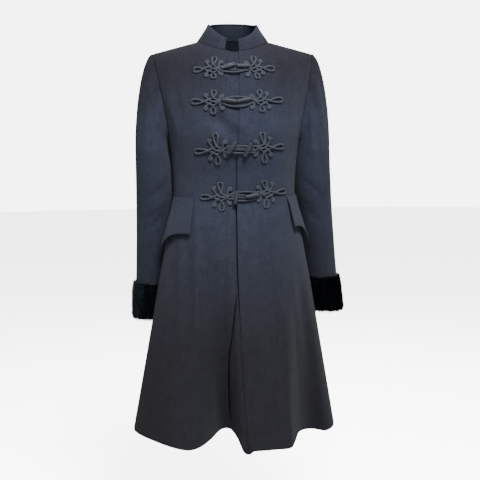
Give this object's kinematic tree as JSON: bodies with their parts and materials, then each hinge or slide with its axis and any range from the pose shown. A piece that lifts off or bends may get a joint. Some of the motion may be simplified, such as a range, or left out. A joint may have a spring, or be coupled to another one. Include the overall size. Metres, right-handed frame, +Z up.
{
  "type": "frog-fastening coat",
  "caption": "Fit-and-flare wool coat with a stand collar, knotted cord frogs with toggles, hip flaps at the waist seam and fur cuffs, hollow as worn.",
  "frame": {"origin": "midway between the shoulders, level with the points where the shoulder seams meet the collar, where the wearer's shoulders carry the coat", "axes": "+Z up, -Y towards the front of the coat, +X towards the wearer's left"},
  "size_m": [0.5558, 0.3801, 1.017],
  "materials": {
    "wool": "matt twill-woven wool, dark navy",
    "fur": "short dense black pile",
    "braid": "matt braided cord",
    "wrapped": "thread-wrapped bar, slightly sleek"
  },
  "bodies": {
    "root": {"bodice_front_left": "wool", "bodice_front_right": "wool", "bodice_back_left": "wool", "bodice_back_right": "wool", "skirt_front_left": "wool", "skirt_front_right": "wool", "skirt_back_left": "wool", "skirt_back_right": "wool", "collar": "wool", "sleeve_right_under": "wool", "sleeve_right_top": "wool", "cuff_right": "fur", "flap_right": "wool", "sleeve_left_under": "wool", "sleeve_left_top": "wool", "cuff_left": "fur", "flap_left": "wool", "knot_first_right": "braid", "loop_first_right": "braid", "toggle_first_right": "wrapped", "knot_first_left": "braid", "loop_first_left": "braid", "toggle_first_left": "wrapped", "knot_second_right": "braid", "loop_second_right": "braid", "toggle_second_right": "wrapped", "knot_second_left": "braid", "loop_second_left": "braid", "toggle_second_left": "wrapped", "knot_third_right": "braid", "loop_third_right": "braid", "toggle_third_right": "wrapped", "knot_third_left": "braid", "loop_third_left": "braid", "toggle_third_left": "wrapped", "knot_fourth_right": "braid", "loop_fourth_right": "braid", "toggle_fourth_right": "wrapped", "knot_fourth_left": "braid", "loop_fourth_left": "braid", "toggle_fourth_left": "wrapped"}
  },
  "joints": []
}
